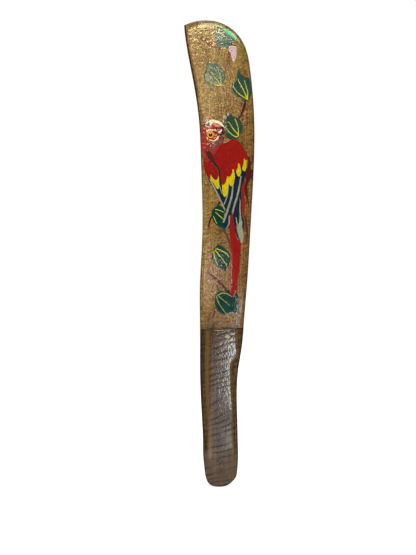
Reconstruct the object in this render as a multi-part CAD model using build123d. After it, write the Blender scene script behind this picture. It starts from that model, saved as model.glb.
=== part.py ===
"""A decorative wooden machete with a painted blade, in millimetres.

Frame: the origin is the centre of the grip. +Z runs along the length to the tip, +X points from
the spine to the cutting edge, and -Y is the outward direction of the painted face.

The blade and its full-length tang are sawn from one board. A handle slab is glued on each side of
the tang, and two wooden pegs go right through the three layers and end flush with the slabs.
"""

import math
import os

from build123d import *

# --- driving dimensions ---------------------------------------------------------------------
BOARD = 8.0  # thickness of the board that holds the blade and the tang
SLAB = 6.0  # thickness of each handle slab
GRIP_TOP = 78.0  # height of the slabs' top end, where it crosses the middle of the board
GRIP_SLANT = 2.6  # degrees by which the slabs' top end rises towards the cutting edge
PEG_WIDTH = 5.8  # the pegs are whittled to an oval section, wider across the grip
PEG_HEIGHT = 3.4
PEGS = {"upper_peg": (8.3, 70.5), "lower_peg": (0.4, -52.0)}  # (x, z) of each peg's axis

EDGE_SLOPE_WIDTH = 5.5  # of the eased slope along the cutting edge and tip, on each face
SPINE_SLOPE_WIDTH = 1.8  # of the narrower slope along the spine
BLADE_SLOPE_DEPTH = 1.5  # how far both slopes drop below the blade's face
SLAB_SLOPE_WIDTH = 6.2  # of the slope round each slab's outer face
SLAB_SLOPE_DEPTH = 4.4
SLAB_TOP_EASE = 1.2  # chamfer along the slabs' top end

# --- outline, as (x, z) points ----------------------------------------------------------------
TIP = (-34.7, 378.0)
SPINE = [
    TIP,
    (-32.0, 356.6),
    (-25.3, 321.1),
    (-20.1, 285.6),
    (-17.8, 238.2),
    (-16.5, 190.9),
    (-17.3, 155.4),
    (-19.1, 119.9),
    (-18.9, 78.0),
    (-19.0, 42.0),
    (-17.6, 0.0),
    (-16.0, -36.0),
    (-14.9, -57.0),
]
BUTT = [
    SPINE[-1],
    (-13.0, -69.0),
    (-9.8, -75.0),
    (0.4, -77.7),
    (9.8, -75.2),
    (15.1, -70.2),
    (18.2, -57.7),
]
CUTTING_EDGE = [
    BUTT[-1],
    (18.5, -36.0),
    (17.9, -10.4),
    (17.4, 10.0),
    (18.7, 37.0),
    (22.4, 60.7),
    (24.4, 84.3),
    (27.4, 119.9),
    (30.4, 167.2),
    (33.1, 214.6),
    (34.9, 262.0),
    (34.1, 297.4),
    (30.8, 332.9),
    (25.1, 358.0),
    (16.5, 370.8),
    (5.2, 378.9),
    (-10.0, 382.8),
    (-25.0, 381.6),
    TIP,
]
# The direction of travel along the outline, anticlockwise seen from the painted face.
AT_TIP_START, AT_TIP_END = (0.07, -1.0), (-0.92, -0.39)
AT_SPINE_END, AT_EDGE_START = (0.12, -1.0), (0.10, 1.0)

HALF_BOARD = BOARD / 2
HALF_GRIP = HALF_BOARD + SLAB


def inward(direction):
    """The unit normal to the left of a direction of travel, which is the outline's inside."""
    return Vector(-direction[1], direction[0]).normalized()


def inset(points, distance, start, end):
    """The points moved inwards, each square to the chord between its neighbours."""
    chords = [Vector(*b) - Vector(*a) for a, b in zip(points, points[2:])]
    directions = [start, *[(c.X, c.Y) for c in chords], end]
    return [Vector(*p) + inward(d) * distance for p, d in zip(points, directions)]


def inset_tip(edge_inset, spine_inset):
    """Where the two inset curves cross, by the tip."""
    a, b = inward(AT_TIP_END), inward(AT_TIP_START)
    cross = a.X * b.Y - a.Y * b.X
    move_x = (edge_inset * b.Y - spine_inset * a.Y) / cross
    move_y = (spine_inset * a.X - edge_inset * b.X) / cross
    return Vector(*TIP) + Vector(move_x, move_y)


def outline_at(y, edge_inset=0.0, spine_inset=0.0):
    """The board's outline as a face at that y. The butt is inset as much as the spine."""
    tip = inset_tip(edge_inset, spine_inset)
    spine = [tip, *inset(SPINE, spine_inset, AT_TIP_START, AT_SPINE_END)[1:]]
    edge = [*inset(CUTTING_EDGE, edge_inset, AT_EDGE_START, AT_TIP_END)[:-1], tip]
    butt = [spine[-1], *inset(BUTT, spine_inset, AT_SPINE_END, AT_EDGE_START)[1:-1], edge[0]]
    curves = [
        Spline(*spine, tangents=[AT_TIP_START, AT_SPINE_END]),
        Spline(*butt, tangents=[AT_SPINE_END, AT_EDGE_START]),
        Spline(*edge, tangents=[AT_EDGE_START, AT_TIP_END]),
    ]
    return Plane.XZ.offset(-y) * make_face(curves)


def layer(y, thickness):
    """A plain slice of the outline, from y to y plus the thickness."""
    return extrude(outline_at(y), amount=thickness, dir=(0, 1, 0))


def sloped_skin(y_base, y_top, edge_slope, spine_slope):
    """The outermost slice of a layer, which narrows from the whole outline at its base."""
    return loft([outline_at(y_base), outline_at(y_top, edge_slope, spine_slope)], ruled=True)


def grip_top_plane():
    """The slanting plane of the slabs' top ends, with its normal towards the tip."""
    slant = math.radians(GRIP_SLANT)
    normal = (-math.sin(slant), 0, math.cos(slant))
    return Plane(origin=(0, 0, GRIP_TOP), x_dir=(0, 1, 0), z_dir=normal)


def peg(x, z):
    """An oval peg through the whole grip, flush with both slabs."""
    section = Plane.XZ * Pos(x, z) * Ellipse(PEG_WIDTH / 2, PEG_HEIGHT / 2)
    return extrude(section, amount=HALF_GRIP, both=True)


def drilled(solid):
    """The solid with a hole for each peg."""
    for x, z in PEGS.values():
        solid -= peg(x, z)
    return solid


def make_blade():
    """The blade with sloped edges on both faces, and the square-edged tang below it."""
    flank = HALF_BOARD - BLADE_SLOPE_DEPTH
    blade = layer(-flank, 2 * flank)
    for side in (-1, 1):
        blade += sloped_skin(side * flank, side * HALF_BOARD, EDGE_SLOPE_WIDTH, SPINE_SLOPE_WIDTH)
    blade = split(blade, bisect_by=grip_top_plane(), keep=Keep.TOP)
    tang = split(layer(-HALF_BOARD, BOARD), bisect_by=grip_top_plane(), keep=Keep.BOTTOM)
    return drilled(blade + tang)


def make_slab(side):
    """One handle slab. side is -1 at the painted face and 1 at the back."""
    shoulder = HALF_GRIP - SLAB_SLOPE_DEPTH
    near, far = sorted((side * HALF_BOARD, side * shoulder))
    slab = layer(near, far - near)
    slab += sloped_skin(side * shoulder, side * HALF_GRIP, SLAB_SLOPE_WIDTH, SLAB_SLOPE_WIDTH)
    slab = split(slab, bisect_by=grip_top_plane(), keep=Keep.BOTTOM)
    top_end = slab.faces().sort_by(lambda f: f.center().Z)[-1]
    outer_edge = top_end.edges().sort_by(lambda e: side * e.center().Y)[-1]
    return drilled(chamfer(outer_edge, SLAB_TOP_EASE))


def make_parts():
    """Every node's name and its solid."""
    parts = {"blade": make_blade(), "front_slab": make_slab(-1), "back_slab": make_slab(1)}
    for name, (x, z) in PEGS.items():
        parts[name] = peg(x, z)
    return parts


os.makedirs("parts", exist_ok=True)
for name, solid in make_parts().items():
    export_step(solid, f"parts/{name}.step")
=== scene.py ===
"""A painted wooden machete: its looks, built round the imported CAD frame.

The frame is in metres: origin at the centre of the grip, +Z to the tip, +X from the spine to the
cutting edge, -Y out of the painted face. Shapes are worked out in millimetres as (x, z) points and
heights above the board's middle plane, and turned into metres when a mesh is made.
"""

import collections
import math

import bmesh
import bpy
import numpy as np
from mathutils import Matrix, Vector, geometry, noise


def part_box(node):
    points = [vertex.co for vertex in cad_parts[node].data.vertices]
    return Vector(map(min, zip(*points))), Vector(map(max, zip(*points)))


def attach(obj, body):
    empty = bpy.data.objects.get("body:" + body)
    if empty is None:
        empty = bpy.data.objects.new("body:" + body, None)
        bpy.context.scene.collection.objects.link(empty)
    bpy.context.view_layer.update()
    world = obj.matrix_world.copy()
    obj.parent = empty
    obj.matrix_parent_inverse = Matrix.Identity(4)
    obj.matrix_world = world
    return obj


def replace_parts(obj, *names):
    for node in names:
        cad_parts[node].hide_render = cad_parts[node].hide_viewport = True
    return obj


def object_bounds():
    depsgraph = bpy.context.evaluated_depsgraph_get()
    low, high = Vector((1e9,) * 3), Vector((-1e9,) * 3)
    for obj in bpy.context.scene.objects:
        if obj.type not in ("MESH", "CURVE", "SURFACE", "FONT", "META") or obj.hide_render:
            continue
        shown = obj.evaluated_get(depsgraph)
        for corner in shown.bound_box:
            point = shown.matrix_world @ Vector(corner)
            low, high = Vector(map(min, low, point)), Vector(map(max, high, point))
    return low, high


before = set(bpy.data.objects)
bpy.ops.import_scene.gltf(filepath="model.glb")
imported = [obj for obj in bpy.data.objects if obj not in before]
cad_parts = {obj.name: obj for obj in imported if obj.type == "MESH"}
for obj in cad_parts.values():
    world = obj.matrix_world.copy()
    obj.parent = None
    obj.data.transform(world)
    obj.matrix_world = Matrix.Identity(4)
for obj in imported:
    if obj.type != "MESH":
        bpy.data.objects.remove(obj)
cad_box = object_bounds()

MM = 0.001
CORNER = True  # a third value on a shape's point: the outline turns sharply there

# --- heights of the wood, in mm, from the frame ---------------------------
BOARD_FACE = -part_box("front_slab")[1].y / MM  # half the board's thickness
GRIP_FACE = -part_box("front_slab")[0].y / MM  # half the grip's thickness
BLADE_RIM = BOARD_FACE - 1.5  # half the thickness where a blade face's slope meets its side wall
EDGE_SLOPE = [(200, 2.4), (330, 7.0)]  # (z, width) of the slope along the cutting edge and tip
SPINE_SLOPE = 2.8  # width of the slope along the spine
RIM_ROUND = 1.0  # radius of the rounding between a face and the side wall
SLAB_RIM = GRIP_FACE - 4.4  # where a slab's bevels meet its side wall
SLAB_RIM_ROUND = 1.5
SLAB_TOP_ROUND = 1.6
BUTT_SLOPE = 9.0  # width of the bevel round the butt
BUTT_START = -58.0  # z below which the outline is the rounded butt
# Bevel widths of the slabs, (z, width), on the spine side and on the cutting-edge side.
SPINE_BEVEL = [(-60, 6.3), (0, 6.5), (78, 7.3)]
EDGE_BEVEL = [
    (-60, 5.2), (-30, 4.9), (0, 4.4), (31, 6.5), (41, 7.9), (46, 7.3), (50, 5.6), (54, 3.7),
    (58, 4.5), (62, 5.8), (71, 6.8), (78, 7.0),
]
BEVEL_BLUNTNESS = (0.55, 0.12, 0.7)  # of the ridge where the spine, edge and butt bevels end
HOLE_ROUND = 0.35  # radius of the rounding at the mouths of the peg holes
FACE_DROP = 0.05  # how much lower than the tang's face the planed blade is
CREASE_SPACING = 6.0
CREASE_SLANT = 0.3  # rise over run
CREASE_DEPTH = 0.03
FRONT_SEED, BACK_SEED = 1.7, 12.3  # of the two slabs' creases
PEG_GAP = 0.04  # all round a peg, in its hole
PEG_RECESS = 0.02  # below the slab's face
PEG_ROUND = 0.25


# --- curves and distances -------------------------------------------------
def through(points, closed, spacing):
    """Points along a smooth curve through the given ones, about that far apart."""
    count = len(points)
    nodes = np.vstack([points[-1:], points, points[:2]]) if closed else np.array(points, float)
    if not closed:
        nodes = np.vstack([2 * nodes[0] - nodes[1], nodes, 2 * nodes[-1] - nodes[-2]])
    steps = np.sqrt(np.linalg.norm(np.diff(nodes, axis=0), axis=1))
    slopes = np.diff(nodes, axis=0) / steps[:, None]
    before, after = steps[:-1, None], steps[1:, None]
    tangents = (slopes[:-1] * after + slopes[1:] * before) / (before + after)
    curve = []
    for i in range(count if closed else count - 1):
        start, end, step = nodes[i + 1], nodes[i + 2], steps[i + 1]
        leave = tangents[i] * step
        arrive = tangents[(i + 1) % count if closed else i + 1] * step
        pieces = max(1, math.ceil(np.linalg.norm(end - start) / spacing))
        t = (np.arange(pieces) / pieces)[:, None]
        curve.append(
            start * (2 * t**3 - 3 * t**2 + 1)
            + leave * (t**3 - 2 * t**2 + t)
            + end * (3 * t**2 - 2 * t**3)
            + arrive * (t**3 - t**2)
        )
    if not closed:
        curve.append(nodes[-2:-1])
    return np.vstack(curve)


def outline(points, spacing):
    """The closed outline through points, smooth except at those marked CORNER."""
    places = np.array([p[:2] for p in points], float)
    sharp = [i for i, p in enumerate(points) if len(p) > 2]
    if not sharp:
        return through(places, True, spacing)
    runs = []
    for first, last in zip(sharp, sharp[1:] + [sharp[0] + len(points)]):
        indices = [i % len(points) for i in range(first, last + 1)]
        runs.append(through(places[indices], False, spacing)[:-1])
    return np.vstack(runs)


def blocks(points):
    """The points in blocks that are small enough to compare with a whole line at once."""
    return np.array_split(points, max(1, len(points) // 2000))


def nearest(line, points):
    """How far each point is from a polyline, and how far along the line it is nearest."""
    start, end = line[:-1], line[1:]
    along = end - start
    lengths = np.sqrt(np.maximum((along**2).sum(1), 1e-12))
    passed = np.concatenate([[0], np.cumsum(lengths)[:-1]])
    far, reached = [], []
    for block in blocks(points):
        offset = block[:, None, :] - start[None]
        t = np.clip((offset * along[None]).sum(2) / lengths**2, 0, 1)
        gaps = ((offset - t[..., None] * along[None]) ** 2).sum(2)
        best = gaps.argmin(1)
        rows = np.arange(len(block))
        far.append(np.sqrt(gaps[rows, best]))
        reached.append(passed[best] + t[rows, best] * lengths[best])
    return np.concatenate(far), np.concatenate(reached)


def distance(line, points):
    """How far each point is from a polyline."""
    return nearest(line, points)[0]


def is_inside(loop, points):
    """Whether each point is inside a closed loop."""
    a, b = loop, np.roll(loop, -1, axis=0)
    inside = []
    for block in blocks(points):
        x, z = block[:, :1], block[:, 1:]
        spans = (a[:, 1] > z) != (b[:, 1] > z)
        rise = np.where(b[:, 1] == a[:, 1], 1e-12, b[:, 1] - a[:, 1])
        crossing = a[:, 0] + (z - a[:, 1]) / rise * (b[:, 0] - a[:, 0])
        inside.append((spans & (x < crossing)).sum(1) % 2 == 1)
    return np.concatenate(inside)


def anticlockwise(loop):
    """The loop, reversed if it runs clockwise, seen from the painted side."""
    x, z = loop[:, 0], loop[:, 1]
    area = 0.5 * (x * np.roll(z, -1) - np.roll(x, -1) * z).sum()
    return loop if area > 0 else loop[::-1]


def ring(loop):
    """A closed loop as a polyline that ends where it starts."""
    return np.vstack([loop, loop[:1]])


def share(t):
    """The values, held between 0 and 1."""
    return np.clip(t, 0, 1)


def smooth(t):
    """An even step from 0 to 1."""
    t = share(t)
    return t * t * (3 - 2 * t)


def ripple(points, size_x, size_z, seed):
    """Smooth noise from -1 to 1 at each (x, z) point, with features of those sizes."""
    return np.array([noise.noise(Vector((x / size_x, z / size_z, seed))) for x, z in points])


# --- outlines of the wood, from the CAD nodes -----------------------------
def rim(node, y):
    """The longest line of a CAD node's edges that lie at that y and border a side wall."""
    solid = bmesh.new()
    solid.from_mesh(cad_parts[node].data)
    bmesh.ops.remove_doubles(solid, verts=solid.verts, dist=1e-6)
    links = {}
    for edge in solid.edges:
        level = all(abs(v.co.y - y * MM) < 2e-6 for v in edge.verts)
        walled = any(abs(f.normal.y) < 0.98 for f in edge.link_faces)
        if level and walled:
            a, b = (tuple(round(c / MM, 4) for c in (v.co.x, v.co.z)) for v in edge.verts)
            links.setdefault(a, set()).add(b)
            links.setdefault(b, set()).add(a)
    solid.free()
    lines = []
    while links:
        start = next((p for p, others in links.items() if len(others) == 1), next(iter(links)))
        line = [start]
        while links.get(line[-1]):
            following = links[line[-1]].pop()
            links[following].discard(line[-1])
            line.append(following)
        for p in line:
            if not links.get(p):
                links.pop(p, None)
        lines.append(np.array(line))
    return max(lines, key=lambda points: np.linalg.norm(np.diff(points, axis=0), axis=1).sum())


def wood_outlines():
    """The cutting edge up to the tip, the spine down from it, and the grip from spine to edge."""
    blade = anticlockwise(rim("blade", -BLADE_RIM))
    tip = int(np.argmin(blade[:, 0] - 0.5 * blade[:, 1]))
    slab = anticlockwise(rim("front_slab", -BOARD_FACE)[:-1])
    edge_corner = int(np.argmax(slab.sum(1)))
    grip = np.roll(slab, -edge_corner - 1, axis=0)
    return [through(line, False, 1.5) for line in (blade[: tip + 1], blade[tip:], grip)]


EDGE, SPINE, GRIP = wood_outlines()
BOARD_LOOP = np.vstack([EDGE[:-1], SPINE[:-1], GRIP[:-1]])
SLAB_TOP = (GRIP[0], GRIP[-1])  # the ends of the slabs' top ends: at the spine and at the edge


def above_slab_top(points):
    """How far each point is above the line of the slabs' top ends."""
    (x0, z0), (x1, z1) = SLAB_TOP
    length = math.hypot(x1 - x0, z1 - z0)
    return ((x1 - x0) * (points[:, 1] - z0) - (z1 - z0) * (points[:, 0] - x0)) / length


def slab_loop():
    """The slabs' outline: the grip's, closed by the straight top end."""
    top = np.linspace(GRIP[-1], GRIP[0], 30)[1:-1]
    return np.vstack([GRIP, top])


def oval(centre_x, centre_z, width, height, count=36):
    angles = np.arange(count) * 2 * math.pi / count
    x = centre_x + width / 2 * np.cos(angles)
    return np.stack([x, centre_z + height / 2 * np.sin(angles)], 1)


def peg_loop(node, gap=0.0):
    """The oval outline of a peg, or one inside it by a gap, from the CAD node's box."""
    low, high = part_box(node)
    centre, size = (low + high) / 2 / MM, (high - low) / MM
    return oval(centre.x, centre.z, size.x - 2 * gap, size.z - 2 * gap)


PEG_HOLES = [peg_loop("upper_peg"), peg_loop("lower_peg")]


# --- heights of the surfaces above the board's middle plane ---------------
def round_off(depth, radius):
    """The drop of a rounded rim of that radius, at a depth in from it."""
    inward = radius - np.clip(depth, 0, radius)
    return radius - np.sqrt(radius**2 - inward**2)


def hole_round(points):
    """The small rounding at the mouths of the peg holes."""
    drop = np.zeros(len(points))
    for hole in PEG_HOLES:
        drop = np.maximum(drop, round_off(distance(ring(hole), points), HOLE_ROUND))
    return drop


def blade_height(points):
    """The blade's face: flat, sloping to its rims, and a little uneven from planing by hand."""
    to_edge, to_spine = distance(EDGE, points), distance(SPINE, points)
    edge_width = np.interp(points[:, 1], *zip(*EDGE_SLOPE))
    edge_slope = share(1 - to_edge / edge_width) ** 2
    spine_slope = share(1 - to_spine / SPINE_SLOPE) ** 2
    slope = (BOARD_FACE - BLADE_RIM) * (1 - (1 - edge_slope) * (1 - spine_slope))
    rounding = round_off(np.minimum(to_edge, to_spine), RIM_ROUND)
    planing = 0.045 * ripple(points, 16, 34, 3.1) + 0.012 * ripple(points, 4.0, 6.0, 8.4)
    above = smooth(above_slab_top(points))
    return BOARD_FACE + above * (planing - slope - rounding - FACE_DROP)


def bevel_shares(points):
    """0 at a slab's rim and 1 where each bevel meets the flat: at the spine, edge and butt."""
    butt = GRIP[:, 1] < BUTT_START
    middle = len(GRIP) // 2
    spine_side = GRIP[:middle][~butt[:middle]]
    edge_side = GRIP[middle:][~butt[middle:]]
    spine_width = np.interp(points[:, 1], *zip(*SPINE_BEVEL))
    edge_width = np.interp(points[:, 1], *zip(*EDGE_BEVEL))
    return [
        distance(spine_side, points) / spine_width,
        distance(edge_side, points) / edge_width,
        distance(GRIP[butt], points) / BUTT_SLOPE,
    ]


def blunt_minimum(a, b, width):
    """The lower of two values, blended where they are less than width apart."""
    blend = share(0.5 + 0.5 * (b - a) / width)
    return b + (a - b) * blend - width * blend * (1 - blend)


def slab_creases(points, seed):
    """The slanting creases across a slab's grain: 1 along them, 0 between them."""
    wander = 0.95 * ripple(points, 36, 22, seed)
    phase = (points[:, 1] - CREASE_SLANT * points[:, 0]) / CREASE_SPACING + wander
    strength = share(0.6 + 1.4 * ripple(points, 20, 9, seed + 5))
    return strength * share(1.5 * np.cos(2 * math.pi * phase) - 0.5)


def slab_height(points, seed):
    """A slab's outer face: a flat with a cross-rippled figure, bevelled all round."""
    rise = 1.0
    for reached, bluntness in zip(bevel_shares(points), BEVEL_BLUNTNESS):
        slope = reached * (1.25 - 0.25 * np.minimum(reached, 2))
        rise = np.minimum(rise, blunt_minimum(slope, 1.0, bluntness))
    drop = (GRIP_FACE - SLAB_RIM) * (1 - rise)
    drop = drop + round_off(distance(GRIP, points), SLAB_RIM_ROUND)
    drop = drop + round_off(-above_slab_top(points), SLAB_TOP_ROUND) + hole_round(points)
    groove = CREASE_DEPTH * slab_creases(points, seed)
    return GRIP_FACE - drop - groove * smooth((rise - 0.75) * 4)


# --- solids between two surfaces ------------------------------------------
def hexagonal_grid(loop, spacing):
    """Points over a loop's box, each row shifted by half the spacing from the last."""
    low, high = loop.min(0), loop.max(0)
    rows = []
    for i, z in enumerate(np.arange(low[1], high[1], spacing * 0.866)):
        x = np.arange(low[0] + spacing / 2 * (i % 2), high[0], spacing)
        rows.append(np.stack([x, np.full(len(x), z)], 1))
    return np.vstack(rows)


def leftward(along):
    """The directions to the left of the given ones."""
    return np.stack([-along[:, 1], along[:, 0]], 1)


def keep_upward(points, triangles):
    """The triangles without the flat ones, all turned anticlockwise."""
    a, b, c = (points[triangles[:, i]] for i in range(3))
    turn = (b - a)[:, 0] * (c - a)[:, 1] - (b - a)[:, 1] * (c - a)[:, 0]
    triangles = triangles[np.abs(turn) > 1e-9]
    turn = turn[np.abs(turn) > 1e-9]
    triangles[turn < 0] = triangles[turn < 0][:, ::-1]
    return triangles


def rows_inside(rims, depths):
    """Rows of points at those depths in from an outline and round its holes."""
    rings = [ring(line) for line in rims]
    made = []
    for line in rims:
        along = np.roll(line, -1, axis=0) - np.roll(line, 1, axis=0)
        along /= np.linalg.norm(along, axis=1)[:, None]
        side = 1 if line is rims[0] else -1
        for depth in depths:
            moved = line + side * leftward(along) * depth
            fits = np.min([distance(r, moved) for r in rings], axis=0) > 0.93 * depth
            made.append(moved[fits])
    return made


def flat_mesh(loop, spacing, depths, holes=()):
    """Triangles that fill a loop, with rows of points at those depths in from its rim.

    Returns the points, the triangles, anticlockwise, and each point's depth."""
    rims = [loop, *holes]
    rings = [ring(line) for line in rims]
    given = [*rims, *rows_inside(rims, depths)]
    grid = hexagonal_grid(loop, spacing)
    grid = grid[is_inside(loop, grid)]
    if len(grid):
        clear = np.min([distance(r, grid) for r in rings], axis=0)
        given.append(grid[clear > max(depths) + 0.45 * spacing])
    edges, start = [], 0
    for line in rims:
        count = len(line)
        edges += [(start + i, start + (i + 1) % count) for i in range(count)]
        start += count
    given = [Vector(p) for p in np.vstack(given)]
    made = geometry.delaunay_2d_cdt(given, edges, [], 0, 1e-6)
    points = np.array([tuple(p) for p in made[0]])
    triangles = np.array(made[2])
    centres = points[triangles].mean(1)
    keep = is_inside(loop, centres)
    for hole in holes:
        keep &= ~is_inside(hole, centres)
    triangles = keep_upward(points, triangles[keep])
    used = np.unique(triangles)
    renumber = np.full(len(points), -1)
    renumber[used] = np.arange(len(used))
    points, triangles = points[used], renumber[triangles]
    return points, triangles, np.min([distance(r, points) for r in rings], axis=0)


def between(flat, front, back):
    """A closed solid over a flat mesh. front and back are y for each point, in mm."""
    points, triangles, _ = flat
    count = len(points)
    ends = np.vstack([triangles[:, [0, 1]], triangles[:, [1, 2]], triangles[:, [2, 0]]])
    keys = {tuple(e) for e in ends.tolist()}
    border = [e for e in keys if (e[1], e[0]) not in keys]
    sides = [np.stack([points[:, 0], y, points[:, 1]], 1) for y in (front, back)]
    faces = triangles.tolist() + (triangles[:, ::-1] + count).tolist()
    faces += [(b, a, a + count, b + count) for a, b in border]
    return np.vstack(sides), faces


def placed(name, data):
    """A new object in the scene."""
    made = bpy.data.objects.new(name, data)
    bpy.context.scene.collection.objects.link(made)
    return made


def solid(name, pieces, attributes, material, slot, sharp=40):
    """One object of several closed solids. attributes are named values for each vertex."""
    vertices, faces, start = [], [], 0
    for piece_vertices, piece_faces in pieces:
        vertices.append(piece_vertices)
        faces += [[i + start for i in face] for face in piece_faces]
        start += len(piece_vertices)
    mesh = bpy.data.meshes.new(name)
    mesh.from_pydata((np.vstack(vertices) * MM).tolist(), [], faces)
    mesh.update()
    mesh.polygons.foreach_set("use_smooth", [True] * len(mesh.polygons))
    mesh.set_sharp_from_angle(angle=math.radians(sharp))
    for key, values in attributes.items():
        kind, field = ("FLOAT_VECTOR", "vector") if values.ndim == 2 else ("FLOAT", "value")
        mesh.attributes.new(key, kind, "POINT").data.foreach_set(field, values.ravel())
    mesh.materials.append(material)
    made = placed(name, mesh)
    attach(made, "root")
    return made


# --- materials ------------------------------------------------------------
def rgb(red, green, blue):
    """A colour given as display values from 0 to 255, as the linear RGBA that Blender takes."""
    linear = [
        v / 12.92 if v <= 0.04045 else ((v + 0.055) / 1.055) ** 2.4
        for v in (red / 255, green / 255, blue / 255)
    ]
    return (*linear, 1.0)


def fill(made, inputs):
    """Fills in a node's inputs with constants, or with the sockets to link to."""
    for key, value in inputs.items():
        if isinstance(value, bpy.types.NodeSocket):
            made.id_data.links.new(value, made.inputs[key])
        else:
            made.inputs[key].default_value = value


def node(tree, kind, inputs=None, **settings):
    """A new shader node, with its inputs filled in."""
    made = tree.nodes.new("ShaderNode" + kind)
    for key, value in settings.items():
        setattr(made, key, value)
    fill(made, inputs or {})
    return made


def new_material(name):
    """A new material, its empty Principled shader, and the object's own coordinates in it."""
    material = bpy.data.materials.new(name)
    material.use_nodes = True
    tree = material.node_tree
    return material, tree.nodes["Principled BSDF"], node(tree, "TexCoord").outputs["Object"]


def tree_of(*values):
    """The node tree of the first value that is a socket."""
    return next(v for v in values if isinstance(v, bpy.types.NodeSocket)).id_data


def scaled_noise(where, scale, detail=3.0, roughness=0.55, tilt=0.0):
    """Noise over coordinates stretched by scale, which is features per unit along X, Y and Z."""
    tree = tree_of(where)
    mapping = node(tree, "Mapping", {"Vector": where, "Rotation": (0, tilt, 0)})
    stretched = node(tree, "Mapping", {"Vector": mapping.outputs[0], "Scale": scale})
    inputs = {"Vector": stretched.outputs[0], "Scale": 1, "Detail": detail, "Roughness": roughness}
    return node(tree, "TexNoise", inputs).outputs["Fac"]


def math_node(operation, *values):
    inputs = dict(enumerate(values))
    return node(tree_of(*values), "Math", inputs, operation=operation).outputs[0]


def multiply(a, b):
    return math_node("MULTIPLY", a, b)


def blend_colours(amount, first, second):
    """The first colour where the amount is 0, and the second where it is 1."""
    inputs = {0: amount, 6: first, 7: second}
    return node(tree_of(*inputs.values()), "Mix", inputs, data_type="RGBA").outputs[2]


def steps(value, *stops):
    """A colour ramp. Each stop is its position and its colour from 0 to 255."""
    ramp = node(tree_of(value), "ValToRGB", {"Fac": value})
    elements = ramp.color_ramp.elements
    while len(elements) < len(stops):
        elements.new(0.5)
    for element, (position, colour) in zip(elements, stops):
        element.position = position
        element.color = rgb(*colour)
    return ramp.outputs[0]


def narrow(value, low, high):
    """The value rescaled so that low to high becomes 0 to 1, and no further."""
    inputs = {"Value": value, "From Min": low, "From Max": high}
    return node(tree_of(value), "MapRange", inputs, clamp=True).outputs[0]


def bump(height, millimetres, normal=None):
    inputs = {"Height": height, "Strength": 1.0, "Distance": millimetres * MM}
    if normal is not None:
        inputs["Normal"] = normal
    return node(tree_of(height), "Bump", inputs).outputs[0]


def varnish(shader, where, relief, roughness, scale):
    """A brushed varnish coat, uneven over short distances, so that it glints.

    relief is in mm, and scale is its features per metre. Returns the coat's normal."""
    normal = bump(scaled_noise(where, scale, 0.0), relief)
    coat = {"Coat Normal": normal, "Coat Weight": 1.0, "Coat IOR": 1.5, "Coat Roughness": roughness}
    fill(shader, {**coat, "Roughness": 0.5, "Specular IOR Level": 0.05})
    return normal


def weighted_sum(*pairs):
    """The sum of values, each times its weight."""
    total = None
    for value, weight in pairs:
        part = multiply(value, weight)
        total = part if total is None else math_node("ADD", total, part)
    return total


def attribute(where, name):
    """A value that the mesh holds for each vertex, as a socket in the same tree as another."""
    return node(tree_of(where), "Attribute", attribute_name=name).outputs["Fac"]


def tinted(colour, name, weight, tint):
    """The colour, blended towards the tint by a named vertex value times a weight."""
    return blend_colours(multiply(attribute(colour, name), weight), colour, rgb(*tint))


def blade_wood():
    """Golden brown wood: upright grain under a fine mottled figure, with painted shade along its rims."""
    material, shader, where = new_material("blade_wood")
    bands = scaled_noise(where, (110, 110, 5), 3)
    fibres = scaled_noise(where, (800, 800, 30), 4, 0.6)
    grains = scaled_noise(where, (520, 520, 560), 2, 0.6, 0.5)
    waves = scaled_noise(where, (150, 150, 520), 2, 0.5, 0.1)
    figure = weighted_sum((bands, 0.20), (fibres, 0.22), (grains, 0.38), (waves, 0.20))
    light = steps(
        figure, (0.41, (86, 60, 26)), (0.47, (120, 90, 46)), (0.53, (143, 111, 61)), (0.60, (182, 147, 91))
    )
    dark = steps(figure, (0.41, (60, 36, 12)), (0.50, (106, 74, 36)), (0.59, (148, 110, 60)))
    colour = blend_colours(attribute(where, "shade"), light, dark)
    colour = tinted(colour, "olive", 1.0, (126, 122, 56))
    pores = narrow(scaled_noise(where, (1700, 1700, 90), 2), 0.58, 0.70)
    colour = blend_colours(multiply(pores, 0.45), colour, rgb(70, 44, 18))
    # Painted shade: darker along the rims and in a line at the joint with the slabs.
    colour = tinted(colour, "rim", 1.0, (40, 24, 12))
    normal = bump(fibres, 0.04, varnish(shader, where, 0.036, 0.1, (640, 640, 580)))
    fill(shader, {"Base Color": colour, "Normal": normal})
    return material


def handle_wood():
    """Dark, glossy wood: fine upright fibres, with painted shade in the creases of its rippled figure."""
    material, shader, where = new_material("handle_wood")
    flame = scaled_noise(where, (28, 28, 210), 3, 0.6, 0.32)
    fibres = scaled_noise(where, (900, 900, 34), 4, 0.6)
    grains = scaled_noise(where, (600, 600, 450), 2, 0.6)
    bands = scaled_noise(where, (150, 150, 6), 3)
    tone = weighted_sum((flame, 0.14), (fibres, 0.34), (grains, 0.30), (bands, 0.22))
    stops = (0.40, (36, 24, 15)), (0.47, (64, 46, 26)), (0.53, (86, 62, 35)), (0.60, (116, 86, 50))
    # A painted grey sheen towards the butt.
    colour = tinted(steps(tone, *stops), "end_grain", 0.5, (106, 92, 84))
    # Painted shade in the creases, which also lose their coat.
    crease = multiply(attribute(where, "crease"), 0.65)
    colour = blend_colours(crease, colour, rgb(24, 16, 10))
    # Painted highlight along the bevels' ridges.
    colour = tinted(colour, "ridge", 0.5, (122, 98, 58))
    # Painted shade along the slab's rims and at its top end.
    rim_shade_share = multiply(attribute(where, "rim"), 0.8)
    colour = blend_colours(rim_shade_share, colour, rgb(38, 22, 11))
    normal = bump(fibres, 0.05, varnish(shader, where, 0.034, 0.08, (640, 640, 520)))
    left_coated = math_node("SUBTRACT", 1.0, math_node("MAXIMUM", crease, rim_shade_share))
    fill(shader, {"Base Color": colour, "Normal": normal, "Coat Weight": left_coated})
    return material


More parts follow.
